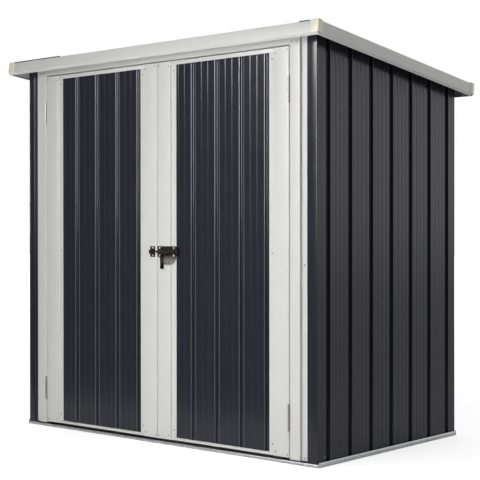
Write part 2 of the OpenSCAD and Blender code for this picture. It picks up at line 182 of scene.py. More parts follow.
FOOT_PAINTED_HIGHLIGHT = 0.4
WALL_PAINTED_SHADE = 1.0
CUT_EDGE = math.radians(60)
POST_LEG = 42 * MM
SIDE_FIRST_GROOVE = 75 * MM
SIDE_FRONT_GROOVES = 4
SIDE_GROOVES = 7
BACK_SIDE_GROOVES = 5
BACK_MIDDLE_GROOVES = 3

charcoal, tree, where = start_finish("Charcoal coil-coated steel")
clouds = add(tree, "ShaderNodeTexNoise", {"Vector": where, "Scale": 1 / COAT_CLOUDS, "Detail": 4})[0]
coat = add(
    tree, "ShaderNodeMix", {0: clouds, 6: linear(CHARCOAL), 7: linear(CHARCOAL_WORN)}, data_type="RGBA"
)[2]
# Painted highlight: along the groove edges the coat is mixed towards a pale grey and made more metallic.
bend = add(tree, "ShaderNodeAttribute", attribute_name="bend")["Fac"]
coat = add(tree, "ShaderNodeMix", {0: bend, 6: coat, 7: linear(CHARCOAL_PAINTED_HIGHLIGHT)}, data_type="RGBA")[2]
gloss = add(tree, "ShaderNodeMapRange", {"Value": clouds, "To Min": 0.20, "To Max": 0.26})[0]
peel = add(tree, "ShaderNodeTexNoise", {"Vector": where, "Scale": 1 / ORANGE_PEEL})[0]
skin = add(tree, "ShaderNodeBump", {"Height": peel, "Strength": 0.3, "Distance": PEEL_HEIGHT})[0]
metal = add(tree, "ShaderNodeMath", {0: bend, 1: PAINTED_HIGHLIGHT_METAL}, operation="MULTIPLY")[0]
# Painted shade: deep in the grooves the coat is mixed towards near-black and loses its shine.
dust = add(tree, "ShaderNodeAttribute", attribute_name="dust")["Fac"]
coat = add(tree, "ShaderNodeMix", {0: dust, 6: coat, 7: linear(GROOVE_PAINTED_SHADE)}, data_type="RGBA")[2]
shine = add(tree, "ShaderNodeMapRange", {"Value": dust, "To Min": PLAIN_SHINE, "To Max": PAINTED_SHADE_SHINE})[0]
paint = add(tree, "ShaderNodeBsdfPrincipled", {
    "Base Color": coat, "Roughness": gloss, "Metallic": metal, "Specular IOR Level": shine, "Normal": skin,
})
add(tree, "ShaderNodeOutputMaterial", {"Surface": paint["BSDF"]})

# The tree lays a fine grid over the sheet, u along it and one row foot to top, and presses the profile in.
ribbed = bpy.data.node_groups.new("Ribbed sheet", "GeometryNodeTree")
for kind, names in (
    ("Float", ("Start", "End", "First", "Pitch", "Groove", "Plain start", "Plain end", "Stretch", "Dust")),
    ("Float", ("Height", "Rise")),
    ("Int", ("Count", "Beads")),
    ("Vector", ("Corner", "Along", "Out", "Up")),
    ("Material", ("Material",)),
):
    for name in names:
        ribbed.interface.new_socket(name=name, in_out="INPUT", socket_type="NodeSocket" + kind)
ribbed.interface.new_socket(name="Sheet", in_out="OUTPUT", socket_type="NodeSocketGeometry")
given = add(ribbed, "NodeGroupInput")

length = add(ribbed, "ShaderNodeMath", {0: given["End"], 1: given["Start"]}, operation="SUBTRACT")[0]
middle = add(ribbed, "ShaderNodeMath", {0: length, 1: 0.5, 2: given["Start"]}, operation="MULTIPLY_ADD")[0]
columns = add(ribbed, "ShaderNodeMath", {0: length, 1: 1 / PROFILE_STEP, 2: 2}, operation="MULTIPLY_ADD")[0]
grid = add(
    ribbed, "GeometryNodeMeshGrid", {"Size X": length, "Size Y": 1, "Vertices X": columns, "Vertices Y": 2}
)["Mesh"]
flat = add(ribbed, "ShaderNodeSeparateXYZ", {0: add(ribbed, "GeometryNodeInputPosition")[0]})
u = add(ribbed, "ShaderNodeMath", {0: flat["X"], 1: middle}, operation="ADD")[0]
row = add(ribbed, "ShaderNodeMath", {0: flat["Y"], 1: 0.5}, operation="ADD")[0]

# Distance from the nearest groove.
past_first = add(ribbed, "ShaderNodeMath", {0: u, 1: given["First"]}, operation="SUBTRACT")[0]
share = add(ribbed, "ShaderNodeMath", {0: past_first, 1: given["Pitch"]}, operation="DIVIDE")[0]
nearest = add(ribbed, "ShaderNodeMath", {0: share}, operation="ROUND")[0]
last = add(ribbed, "ShaderNodeMath", {0: given["Count"], 1: 1}, operation="SUBTRACT")[0]
groove = add(ribbed, "ShaderNodeClamp", {"Value": nearest, "Min": 0, "Max": last})[0]
groove_u = add(ribbed, "ShaderNodeMath", {0: groove, 1: given["Pitch"]}, operation="MULTIPLY")[0]
from_groove = add(ribbed, "ShaderNodeMath", {0: past_first, 1: groove_u}, operation="SUBTRACT")[0]
away = add(ribbed, "ShaderNodeMath", {0: from_groove}, operation="ABSOLUTE")[0]
# Each groove wall is two quarter rounds, one at the edge and one at the floor; c runs from -1 to 1 down it.
half_w = add(ribbed, "ShaderNodeMath", {0: given["Groove"], 1: 0.5}, operation="MULTIPLY")[0]
floor_end = add(ribbed, "ShaderNodeMath", {0: half_w, 1: GROOVE_ROUND}, operation="SUBTRACT")[0]
c = add(ribbed, "ShaderNodeMapRange", {
    "Value": away, "From Min": floor_end, "From Max": half_w, "To Min": 1, "To Max": -1,
})[0]
c_size = add(ribbed, "ShaderNodeMath", {0: c}, operation="ABSOLUTE")[0]
from_end = add(ribbed, "ShaderNodeMath", {0: 1, 1: c_size}, operation="SUBTRACT")[0]
squared = add(ribbed, "ShaderNodeMath", {0: from_end, 1: from_end}, operation="MULTIPLY")[0]
rest = add(ribbed, "ShaderNodeMath", {0: 1, 1: squared}, operation="SUBTRACT")[0]
arc = add(ribbed, "ShaderNodeMath", {0: rest}, operation="SQRT")[0]
half = add(ribbed, "ShaderNodeMath", {0: c}, operation="SIGN")[0]
drop = add(ribbed, "ShaderNodeMath", {0: arc, 1: half}, operation="MULTIPLY")[0]
groove_v = add(
    ribbed, "ShaderNodeMath", {0: drop, 1: -GROOVE_DEPTH / 2, 2: -GROOVE_DEPTH / 2}, operation="MULTIPLY_ADD"
)[0]

# Painted shade in the grooves: the deeper the groove the darker, scaled by the sheet's painted-shade input.
deep = add(ribbed, "ShaderNodeMath", {0: groove_v, 1: -1 / GROOVE_DEPTH}, operation="MULTIPLY")[0]
dust = add(ribbed, "ShaderNodeMath", {0: deep, 1: given["Dust"]}, operation="MULTIPLY")[0]

# Painted highlight along the groove's edge, weaker towards the foot.
on_flat = add(ribbed, "ShaderNodeMath", {0: away, 1: half_w}, operation="SUBTRACT")[0]
off_edge = add(ribbed, "ShaderNodeMath", {0: on_flat}, operation="ABSOLUTE")[0]
bend = add(ribbed, "ShaderNodeMapRange", {
    "Value": off_edge, "From Min": 0, "From Max": BEND_LINE, "To Min": given["Stretch"], "To Max": 0,
}, interpolation_type="SMOOTHSTEP")[0]
fade = add(ribbed, "ShaderNodeMapRange", {"Value": row, "To Min": FOOT_PAINTED_HIGHLIGHT, "To Max": 1})[0]
bend = add(ribbed, "ShaderNodeMath", {0: bend, 1: fade}, operation="MULTIPLY")[0]

# Beads share out the flat between two grooves.
flat_w = add(ribbed, "ShaderNodeMath", {0: given["Pitch"], 1: given["Groove"]}, operation="SUBTRACT")[0]
spaces = add(ribbed, "ShaderNodeMath", {0: given["Beads"], 1: 1}, operation="ADD")[0]
space = add(ribbed, "ShaderNodeMath", {0: flat_w, 1: spaces}, operation="DIVIDE")[0]
bead_share = add(ribbed, "ShaderNodeMath", {0: on_flat, 1: space}, operation="DIVIDE")[0]
bead = add(ribbed, "ShaderNodeMath", {0: bead_share}, operation="ROUND")[0]
bead_in = add(ribbed, "ShaderNodeClamp", {"Value": bead, "Min": 1, "Max": given["Beads"]})[0]
bead_u = add(ribbed, "ShaderNodeMath", {0: bead_in, 1: space}, operation="MULTIPLY")[0]
from_bead = add(ribbed, "ShaderNodeMath", {0: on_flat, 1: bead_u}, operation="SUBTRACT")[0]
bead_away = add(ribbed, "ShaderNodeMath", {0: from_bead}, operation="ABSOLUTE")[0]
bead_v = add(ribbed, "ShaderNodeMapRange", {
    "Value": bead_away, "From Min": 0, "From Max": BEAD_W / 2, "To Min": -BEAD_DEPTH, "To Max": 0,
}, interpolation_type="SMOOTHSTEP")[0]

# No beads are pressed where a corner post lies behind the end of a sheet.
bead_start = add(ribbed, "ShaderNodeMath", {0: given["Start"], 1: given["Plain start"]}, operation="ADD")[0]
bead_end = add(ribbed, "ShaderNodeMath", {0: given["End"], 1: given["Plain end"]}, operation="SUBTRACT")[0]
after = add(ribbed, "ShaderNodeMath", {0: u, 1: bead_start}, operation="GREATER_THAN")[0]
before = add(ribbed, "ShaderNodeMath", {0: u, 1: bead_end}, operation="LESS_THAN")[0]
beaded = add(ribbed, "ShaderNodeMath", {0: after, 1: before}, operation="MULTIPLY")[0]
v = add(ribbed, "ShaderNodeMath", {0: bead_v, 1: beaded, 2: groove_v}, operation="MULTIPLY_ADD")[0]

# The sheet stands up from its corner and gets its thickness on the inside.
top = add(ribbed, "ShaderNodeMath", {0: given["Rise"], 1: u, 2: given["Height"]}, operation="MULTIPLY_ADD")[0]
w = add(ribbed, "ShaderNodeMath", {0: row, 1: top}, operation="MULTIPLY")[0]
place = given["Corner"]
for direction, distance in ((given["Along"], u), (given["Out"], v), (given["Up"], w)):
    place = add(
        ribbed, "ShaderNodeVectorMath", {0: direction, 1: distance, 2: place}, operation="MULTIPLY_ADD"
    )[0]
for name, value in (("bend", bend), ("dust", dust)):
    grid = add(
        ribbed, "GeometryNodeStoreNamedAttribute", {"Geometry": grid, "Name": name, "Value": value},
        domain="POINT",
    )[0]
outer = add(ribbed, "GeometryNodeSetPosition", {"Geometry": grid, "Position": place})[0]
inner = add(ribbed, "GeometryNodeExtrudeMesh", {
    "Mesh": outer, "Offset": given["Out"], "Offset Scale": -SHEET_T, "Individual": False,
})["Mesh"]
inner = add(ribbed, "GeometryNodeFlipFaces", {"Mesh": inner})[0]
shell = add(ribbed, "GeometryNodeJoinGeometry", {"Geometry": [inner, outer]})[0]
shell = add(ribbed, "GeometryNodeMergeByDistance", {"Geometry": shell, "Distance": MERGE_WITHIN})[0]
shell = add(ribbed, "GeometryNodeSetShadeSmooth", {"Geometry": shell, "Shade Smooth": True})[0]
turn = add(ribbed, "GeometryNodeInputMeshEdgeAngle")["Unsigned Angle"]
cut_edge = add(ribbed, "FunctionNodeCompare", {"A": turn, "B": CUT_EDGE}, operation="GREATER_THAN")[0]
shell = add(
    ribbed, "GeometryNodeSetShadeSmooth", {"Geometry": shell, "Selection": cut_edge, "Shade Smooth": False},
    domain="EDGE",
)[0]
shell = add(ribbed, "GeometryNodeRealizeInstances", {"Geometry": shell})[0]
shell = add(ribbed, "GeometryNodeSetMaterial", {"Geometry": shell, "Material": given["Material"]})[0]
add(ribbed, "NodeGroupOutput", {"Sheet": shell})


def grow(name, tree, values, base=None):
    """A plain mesh object that a Geometry Nodes tree makes from these values and, if given, a base mesh."""
    piece = bpy.data.objects.new(name, base or bpy.data.meshes.new(name))
    bpy.context.scene.collection.objects.link(piece)
    modifier = piece.modifiers.new(name, "NODES")
    modifier.node_group = tree
    for socket in tree.interface.items_tree:
        if socket.in_out == "INPUT" and socket.name in values:
            modifier[socket.identifier] = values[socket.name]
    evaluated = piece.evaluated_get(bpy.context.evaluated_depsgraph_get())
    mesh = bpy.data.meshes.new_from_object(evaluated)
    piece.modifiers.remove(modifier)
    piece.data = mesh
    return piece


def ribbed_sheet(node, **values):
    """A ribbed sheet in a CAD node's place."""
    piece = grow("shown_" + node, ribbed, {"Material": charcoal, **values})
    stand_for(piece, node)


front_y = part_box("base_rail_front")[0].y
front_low, front_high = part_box("wall_right_front")
rear_low, rear_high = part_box("wall_right_rear")
roof_slope = (rear_high.z - front_high.z) / (rear_low.y - front_low.y)
roof_pitch = -math.atan(roof_slope)
wall_foot = front_low.z
wall_x = front_high.x
wall_profile = {
    "Pitch": WALL_PITCH, "Groove": WALL_GROOVE, "Beads": WALL_BEADS, "Stretch": WALL_PAINTED_HIGHLIGHT, "Dust": WALL_PAINTED_SHADE,
}
for side, sign in (("right", 1), ("left", -1)):
    for part, first, count in (
        ("front", 0, SIDE_FRONT_GROOVES), ("rear", SIDE_FRONT_GROOVES, SIDE_GROOVES - SIDE_FRONT_GROOVES)
    ):
        node = f"wall_{side}_{part}"
        low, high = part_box(node)
        # u runs along Y from the front corner, and backwards on the left wall to keep Out outwards.
        ends = sorted((sign * (low.y - front_y), sign * (high.y - front_y)))
        grooves = sorted(sign * (SIDE_FIRST_GROOVE + (first + i) * WALL_PITCH) for i in range(count))
        plain = "Plain start" if sign < 0 else "Plain end"
        top_at_front = high.z - roof_slope * (low.y - front_y)
        ribbed_sheet(
            node, **wall_profile, Start=ends[0], End=ends[1], First=grooves[0], Count=count,
            Height=top_at_front - wall_foot, Rise=sign * roof_slope, Corner=(sign * wall_x, front_y, wall_foot),
            Along=(0, sign, 0), Out=(sign, 0, 0), Up=(0, 0, 1),
            **{plain: POST_LEG if part == "rear" else 0.0},
        )

for part, first, count in (
    ("left", 2, BACK_SIDE_GROOVES - 1),
    ("middle", -1, BACK_MIDDLE_GROOVES),
    ("right", -BACK_SIDE_GROOVES, BACK_SIDE_GROOVES - 1),
):
    node = "wall_back_" + part
    low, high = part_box(node)
    # The back is seen from behind, so u runs towards -X.
    ribbed_sheet(
        node, **wall_profile, Start=-high.x, End=-low.x, First=first * WALL_PITCH, Count=count,
        Height=high.z + roof_slope * GROOVE_DEPTH - wall_foot, Rise=0.0, Corner=(0, high.y, wall_foot),
        Along=(-1, 0, 0), Out=(0, 1, 0), Up=(0, 0, 1), **{
            "Plain end": POST_LEG if part == "left" else 0.0,
            "Plain start": POST_LEG if part == "right" else 0.0,
        },
    )


# Front corners: narrow panels of the same sheet between the side walls and the door frame.
# Each is folded back to the flange of the jamb and turned in behind the side wall.
# A press brake leaves a small round at every fold, which carries a line of light.
SHEET_BEND = 3 * MM
CORNER_FLAT = 36 * MM
CORNER_SLOPE = 4 * MM
CORNER_TUCK = 2 * MM
FLANGE_SET = 14.5 * MM
FOLD_T = 1.2 * MM
FOLD_STEPS = 4

# The tree rounds the folds of a path, sweeps it along the strip and gives it its thickness.
# The outer face lies on the right of the path when the sweep points at the eye.
folded = bpy.data.node_groups.new("Folded strip", "GeometryNodeTree")
for name, kind in (
    ("Path", "Geometry"), ("Bend", "Float"), ("Sweep", "Vector"), ("Thickness", "Float"),
    ("Material", "Material"),
):
    folded.interface.new_socket(name=name, in_out="INPUT", socket_type="NodeSocket" + kind)
folded.interface.new_socket(name="Strip", in_out="OUTPUT", socket_type="NodeSocketGeometry")
given = add(folded, "NodeGroupInput")
line = add(folded, "GeometryNodeMeshToCurve", {"Mesh": given["Path"]})[0]
line = add(folded, "GeometryNodeFilletCurve", {
    "Curve": line, "Count": FOLD_STEPS, "Radius": given["Bend"], "Limit Radius": True,
}, mode="POLY")[0]
line = add(folded, "GeometryNodeCurveToMesh", {"Curve": line})[0]
outer = add(folded, "GeometryNodeExtrudeMesh", {"Mesh": line, "Offset": given["Sweep"]}, mode="EDGES")["Mesh"]
depth = add(folded, "ShaderNodeMath", {0: given["Thickness"], 1: -1}, operation="MULTIPLY")[0]
inner = add(
    folded, "GeometryNodeExtrudeMesh", {"Mesh": outer, "Offset Scale": depth, "Individual": False}
)["Mesh"]
inner = add(folded, "GeometryNodeFlipFaces", {"Mesh": inner})[0]
strip = add(folded, "GeometryNodeJoinGeometry", {"Geometry": [inner, outer]})[0]
strip = add(folded, "GeometryNodeMergeByDistance", {"Geometry": strip, "Distance": MERGE_WITHIN})[0]
strip = add(folded, "GeometryNodeSetShadeSmooth", {"Geometry": strip, "Shade Smooth": True})[0]
bend = add(folded, "GeometryNodeInputMeshEdgeAngle")["Unsigned Angle"]
cut_edge = add(folded, "FunctionNodeCompare", {"A": bend, "B": SMOOTH_BELOW}, operation="GREATER_THAN")[0]
strip = add(
    folded, "GeometryNodeSetShadeSmooth", {"Geometry": strip, "Selection": cut_edge, "Shade Smooth": False},
    domain="EDGE",
)[0]
strip = add(folded, "GeometryNodeRealizeInstances", {"Geometry": strip})[0]
strip = add(folded, "GeometryNodeSetMaterial", {"Geometry": strip, "Material": given["Material"]})[0]
add(folded, "NodeGroupOutput", {"Strip": strip})


def folded_strip(name, path, sweep, bend, thickness, material):
    """A folded strip: its outer face follows the path's points and is swept by one vector."""
    line = bpy.data.meshes.new(name)
    line.from_pydata(path, [(i, i + 1) for i in range(len(path) - 1)], [])
    return grow(name, folded, {
        "Bend": bend, "Sweep": sweep, "Thickness": thickness, "Material": material,
    }, base=line)


def upright_strip(node, plan, bend, thickness, material, low_z, high_z):
    """An upright folded strip in a CAD node's place, from its plan on the right; mirrored for a left node."""
    if nodes[node].data.vertices[0].co.x < 0:
        plan = [(-x, y) for x, y in reversed(plan)]
    path = [(x, y, low_z) for x, y in plan]
    piece = folded_strip("shown_" + node, path, (0, 0, high_z - low_z), bend, thickness, material)
    stand_for(piece, node)


jamb_low, jamb_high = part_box("door_jamb_right")
corner_low, corner_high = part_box("front_corner_right")
flange_y = jamb_low.y + FLANGE_SET
corner_plan = [
    (jamb_high.x - CORNER_TUCK, flange_y + FOLD_T),
    (wall_x - CORNER_FLAT - CORNER_SLOPE, flange_y + FOLD_T),
    (wall_x - CORNER_FLAT, corner_low.y),
    (corner_high.x, corner_low.y),
    (corner_high.x, corner_high.y),
]
corner_top = corner_high.z + roof_slope * (corner_high.y - corner_low.y)
for side in ("left", "right"):
    node = "front_corner_" + side
    upright_strip(node, corner_plan, SHEET_BEND, SHEET_T, charcoal, corner_low.z, corner_top)


# Inner frame: angle posts in the back corners, angle rails half way up and under the roof, and one roof beam.
# All are folded from the same galvanised strip as the base rails and are seen only through the open doors.
for node in ("back_corner_posts", "wall_mid_rails", "wall_top_rails", "roof_beam"):
    eased(node, FOLD_EASE, galvanised)


# Door frame: two folded jambs with a flange over the corner panels, and a box header above the doors.
# Steel strip with a satin off-white coat, so smooth that only a faint peel breaks its reflections.
OFF_WHITE = "DEDEDB"
OFF_WHITE_SHADE = "D8D8D5"
STRIP_BEND = 2 * MM
JAMB_W = 52 * MM
JAMB_LIP = 20 * MM

off_white, tree, where = start_finish("Off-white coil-coated steel")
clouds = add(tree, "ShaderNodeTexNoise", {"Vector": where, "Scale": 1 / COAT_CLOUDS, "Detail": 4})[0]
coat = add(
    tree, "ShaderNodeMix", {0: clouds, 6: linear(OFF_WHITE), 7: linear(OFF_WHITE_SHADE)}, data_type="RGBA"
)[2]
gloss = add(tree, "ShaderNodeMapRange", {"Value": clouds, "To Min": 0.38, "To Max": 0.46})[0]
peel = add(tree, "ShaderNodeTexNoise", {"Vector": where, "Scale": 1 / ORANGE_PEEL})[0]
skin = add(tree, "ShaderNodeBump", {"Height": peel, "Strength": 0.3, "Distance": PEEL_HEIGHT})[0]
paint = add(tree, "ShaderNodeBsdfPrincipled", {"Base Color": coat, "Roughness": gloss, "Normal": skin})
add(tree, "ShaderNodeOutputMaterial", {"Surface": paint["BSDF"]})

jamb_plan = [
    (jamb_low.x + JAMB_LIP, jamb_high.y),
    (jamb_low.x, jamb_high.y),
    (jamb_low.x, jamb_low.y),
    (jamb_low.x + JAMB_W, jamb_low.y),
    (jamb_low.x + JAMB_W, flange_y),
    (jamb_high.x, flange_y),
]
jamb_top = jamb_high.z + roof_slope * (jamb_high.y - jamb_low.y)
for side in ("left", "right"):
    upright_strip("door_jamb_" + side, jamb_plan, STRIP_BEND, FOLD_T, off_white, jamb_low.z, jamb_top)

header_low, header_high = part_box("door_header")
header_top = header_high.z + roof_slope * (header_high.y - header_low.y)
header_path = [
    (header_low.x, header_low.y, header_top),
    (header_low.x, header_low.y, header_low.z),
    (header_low.x, header_high.y, header_low.z),
    (header_low.x, header_high.y, header_top),
]
header = folded_strip(
    "shown_door_header", header_path, (header_high.x - header_low.x, 0, 0), STRIP_BEND, FOLD_T, off_white
)
stand_for(header, "door_header")


# Roof sheets: three ribbed sheets that fall from front to back inside the fascia frame.
# They are the walls' charcoal sheet, with the grooves running down the slope.
ROOF_GROOVES = 12

roof_up = (0, math.cos(roof_pitch), -math.sin(roof_pitch))
roof_out = (0, math.sin(roof_pitch), math.cos(roof_pitch))
roof_first = -(ROOF_GROOVES - 1) / 2 * WALL_PITCH
roof_low, roof_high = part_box("roof_sheet_middle")
roof_edge_y = roof_low.y + (GROOVE_DEPTH + SHEET_T) * math.sin(roof_pitch)
for part in ("left", "middle", "right"):
    node = "roof_sheet_" + part
    low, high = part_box(node)
    ribbed_sheet(
        node, **wall_profile, Start=low.x, End=high.x, First=roof_first, Count=ROOF_GROOVES,
        Height=(roof_high.y - roof_edge_y) / math.cos(roof_pitch), Rise=0.0,
        Corner=(0, roof_edge_y, roof_high.z), Along=(1, 0, 0), Out=roof_out, Up=roof_up,
    )


# Fascias: four folded strips around the roof, each with a flange over the sheets and a slanted lower lip.
# They have the door frame's off-white coat.
FASCIA_H = 48 * MM
FASCIA_LIP = 9 * MM
FASCIA_FLANGE = 24 * MM
FASCIA_BEND = 2.5 * MM

fascia_low, fascia_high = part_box("fascia_front")
roof_half = fascia_high.x
roof_front = Vector((0, fascia_low.y + FASCIA_H * math.sin(roof_pitch), fascia_high.z))
roof_len = (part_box("fascia_back")[1].y - roof_front.y) / math.cos(roof_pitch)
side_start = FASCIA_LIP + 2 * FOLD_T
# The section runs from the flange's inner edge over the top and down the face to the lip: first in, then up.
fascia_section = [(FASCIA_FLANGE, 0), (0, 0), (0, -FASCIA_H), (FASCIA_LIP, -FASCIA_H - FASCIA_LIP)]


def on_roof(x, down, up):
    """A point of the roof's own frame: x across it, then down the slope and up from it."""
    return roof_front + Vector((x, 0, 0)) + Vector(roof_up) * down + Vector(roof_out) * up


slope_run = on_roof(0, roof_len - 2 * side_start, 0) - roof_front
for node, path, sweep in (
    ("fascia_front", [on_roof(-roof_half, d, z) for d, z in fascia_section], (2 * roof_half, 0, 0)),
    ("fascia_back", [on_roof(-roof_half, roof_len - d, z) for d, z in reversed(fascia_section)],
     (2 * roof_half, 0, 0)),
    ("fascia_right", [on_roof(roof_half - d, side_start, z) for d, z in fascia_section], slope_run),
    ("fascia_left", [on_roof(d - roof_half, side_start, z) for d, z in reversed(fascia_section)], slope_run),
):
    strip = folded_strip("shown_" + node, path, sweep, FASCIA_BEND, FOLD_T, off_white)
    stand_for(strip, node)


# Turned-up roof edges: the outer roof sheets' front edges, bent up behind the fascia near its ends.
# A thin line of charcoal sheet shows above the white fascia there.
TURN_UP = 5 * MM
TURN_UP_SET = 1 * MM
TURNED_EDGES = (("left", -929 * MM, -590 * MM), ("right", 868 * MM, 921 * MM))

for name, x0, x1 in TURNED_EDGES:
    edge_path = [on_roof(x0, TURN_UP_SET, z) for z in (TURN_UP, 0)]
    turn_up = folded_strip(
        f"roof_turned_edge_{name}", edge_path, (x1 - x0, 0, 0), SHEET_T, SHEET_T, charcoal
    )
    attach(turn_up, "root")


# Corner caps: hollow mouldings pushed over the roof frame's four corners.
# Cream polypropylene with soft mould edges and a fine matt texture, yellower than the paint beside it.
CREAM = "FAF5E0"
CREAM_SHADE = "F4EED6"
CAP_EASE = 1.4 * MM
MOULD_CLOUDS = 30 * MM
MOULD_GRAIN = 3 * MM
MOULD_GRAIN_HEIGHT = 0.05 * MM

cream, tree, where = start_finish("Moulded cream polypropylene")
clouds = add(tree, "ShaderNodeTexNoise", {"Vector": where, "Scale": 1 / MOULD_CLOUDS, "Detail": 3})[0]
body = add(tree, "ShaderNodeMix", {0: clouds, 6: linear(CREAM), 7: linear(CREAM_SHADE)}, data_type="RGBA")[2]
grain = add(tree, "ShaderNodeTexNoise", {"Vector": where, "Scale": 1 / MOULD_GRAIN})[0]
skin = add(tree, "ShaderNodeBump", {"Height": grain, "Strength": 0.4, "Distance": MOULD_GRAIN_HEIGHT})[0]
plastic = add(
    tree, "ShaderNodeBsdfPrincipled", {"Base Color": body, "Roughness": 0.48, "IOR": 1.49, "Normal": skin}
)
add(tree, "ShaderNodeOutputMaterial", {"Surface": plastic["BSDF"]})

eased("roof_corner_caps", CAP_EASE, cream, segments=3)


# Doors: each has two broad folded stiles, a top and a bottom channel, and a ribbed panel behind the flanges.
# Stiles and channels carry the off-white coat, the panels the charcoal one, with two beads on each flat.
# The painted highlight lines along the grooves are stronger on the left panel.
DOOR_PITCH = 140.5 * MM
DOOR_FIRST_GROOVE = 88 * MM
DOOR_GROOVE = 27 * MM
DOOR_GROOVES = 4
DOOR_BEADS = 2
DOOR_PAINTED_HIGHLIGHT = {"left": 1.0, "right": 0.65}
PANEL_TUCK = 24 * MM
STILE_W = 80 * MM

lock_low, lock_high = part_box("right_door_lock_stile")
stile_low, stile_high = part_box("right_door_hinge_stile")
stile_flange_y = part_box("right_door_panel")[0].y - FOLD_T
lock_plan = [
    (lock_low.x, lock_high.y), (lock_low.x, lock_low.y), (lock_low.x + STILE_W, lock_low.y),
    (lock_low.x + STILE_W, stile_flange_y), (lock_high.x, stile_flange_y),
]
hinge_plan = [
    (stile_low.x, stile_flange_y), (stile_high.x - STILE_W, stile_flange_y),
    (stile_high.x - STILE_W, stile_low.y), (stile_high.x, stile_low.y), (stile_high.x, stile_high.y),
]
for door in ("left", "right"):
    for part, plan in (("hinge_stile", hinge_plan), ("lock_stile", lock_plan)):
        upright_strip(f"{door}_door_{part}", plan, STRIP_BEND, FOLD_T, off_white, lock_low.z, lock_high.z)
    for part in ("top_rail", "bottom_rail"):
        eased(f"{door}_door_{part}", FOLD_EASE, off_white)
    node = f"{door}_door_panel"
    low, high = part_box(node)
    ribbed_sheet(
        node, Start=low.x, End=high.x, First=low.x + PANEL_TUCK + DOOR_FIRST_GROOVE + DOOR_GROOVE / 2,
        Pitch=DOOR_PITCH, Groove=DOOR_GROOVE, Count=DOOR_GROOVES, Beads=DOOR_BEADS,
        Stretch=DOOR_PAINTED_HIGHLIGHT[door], Height=high.z - low.z, Rise=0.0,
        Corner=(0, low.y, low.z), Along=(1, 0, 0), Out=(0, -1, 0), Up=(0, 0, 1),
    )


# Hinges: two butt hinges a door, with their leaves in the gap and their knuckles in front of it.
# Zinc-plated steel with a warm chromate tint, dulled by the plating bath.
HINGE_LIGHT = "B9B5A9"
HINGE_DARK = "9D988B"
PLATING_CLOUDS = 9 * MM
HINGE_EASE = 0.2 * MM

hinge_steel, tree, where = start_finish("Zinc-plated steel")
clouds = add(tree, "ShaderNodeTexNoise", {"Vector": where, "Scale": 1 / PLATING_CLOUDS, "Detail": 5})[0]
plating = add(
    tree, "ShaderNodeMix", {0: clouds, 6: linear(HINGE_DARK), 7: linear(HINGE_LIGHT)}, data_type="RGBA"
)[2]
gloss = add(tree, "ShaderNodeMapRange", {"Value": clouds, "To Min": 0.5, "To Max": 0.34})[0]
steel = add(tree, "ShaderNodeBsdfPrincipled", {"Base Color": plating, "Roughness": gloss, "Metallic": 0.8})
add(tree, "ShaderNodeOutputMaterial", {"Surface": steel["BSDF"]})

for node in ("hinge_jamb_leaves", "left_door_hinge_leaves", "right_door_hinge_leaves"):
    eased(node, HINGE_EASE, hinge_steel)


# Latch: a round bolt with a flat handle slides in two guides on a plate, and into a keeper on the other door.
# The pieces are pressed and turned steel with a polished black-nickel plating that mirrors the room darkly.
# The plate's round apron carries a pale painted reflection and the handle's end is black; both bands are
# heights below the bolt's middle.
NICKEL = "35312D"
NICKEL_WORN = "786450"
NICKEL_PAINTED_REFLECTION = "D8D2C8"
REFLECTION_FROM, REFLECTION_TO = -16 * MM, -40 * MM
DIP_BLACK = "0C0B0A"
DIP_FROM, DIP_TO = -58 * MM, -61 * MM
LATCH_EASE = 0.6 * MM

keeper_low, keeper_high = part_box("latch_keeper")
latch_z = (keeper_low.z + keeper_high.z) / 2
for finish, colour, start, end, latch_nodes in (
    ("Black nickel with painted reflection", NICKEL_PAINTED_REFLECTION, REFLECTION_FROM, REFLECTION_TO, ["latch_plate"]),
    ("Polished black nickel", DIP_BLACK, DIP_FROM, DIP_TO, ["latch_bolt", "latch_keeper"]),
):
    black_nickel, tree, where = start_finish(finish)
    clouds = add(tree, "ShaderNodeTexNoise", {"Vector": where, "Scale": 1 / PLATING_CLOUDS, "Detail": 5})[0]
    worn = add(tree, "ShaderNodeMapRange", {"Value": clouds, "From Min": 0.48, "From Max": 0.68})[0]
    plating = add(
        tree, "ShaderNodeMix", {0: worn, 6: linear(NICKEL), 7: linear(NICKEL_WORN)}, data_type="RGBA"
    )[2]
    height = add(tree, "ShaderNodeSeparateXYZ", {0: where})["Z"]
    low = add(tree, "ShaderNodeMapRange", {
        "Value": height, "From Min": latch_z + start, "From Max": latch_z + end,
    })[0]
    # Below these heights the plating turns to the listed colour: a pale painted reflection on the plate, black
    # on the handle's end.
    plating = add(tree, "ShaderNodeMix", {0: low, 6: plating, 7: linear(colour)}, data_type="RGBA")[2]
    gloss = add(tree, "ShaderNodeMapRange", {"Value": clouds, "To Min": 0.22, "To Max": 0.34})[0]
    steel = add(
        tree, "ShaderNodeBsdfPrincipled", {"Base Color": plating, "Roughness": gloss, "Metallic": 0.75}
    )
    add(tree, "ShaderNodeOutputMaterial", {"Surface": steel["BSDF"]})
    for node in latch_nodes:
        eased(node, LATCH_EASE, black_nickel, segments=3)


# Screws: self-tapping screws with a domed head on a washer hold the sheets, frame, doors and latch.
# Zinc plating over steel, dull on the shed and bright on the latch.
# Each set is one mesh on the body that its screws hold.
HEAD_R = 4 * MM
HEAD_RISE = 2.2 * MM
WASHER_R = 5.5 * MM
WASHER_T = 0.9 * MM
HEAD_SEGMENTS, HEAD_RINGS, WASHER_SEGMENTS = 16, 8, 20
SCREW_LIGHT = "707274"
SCREW_DARK = "58595B"
SCREW_BRIGHT = "E2E2E0"

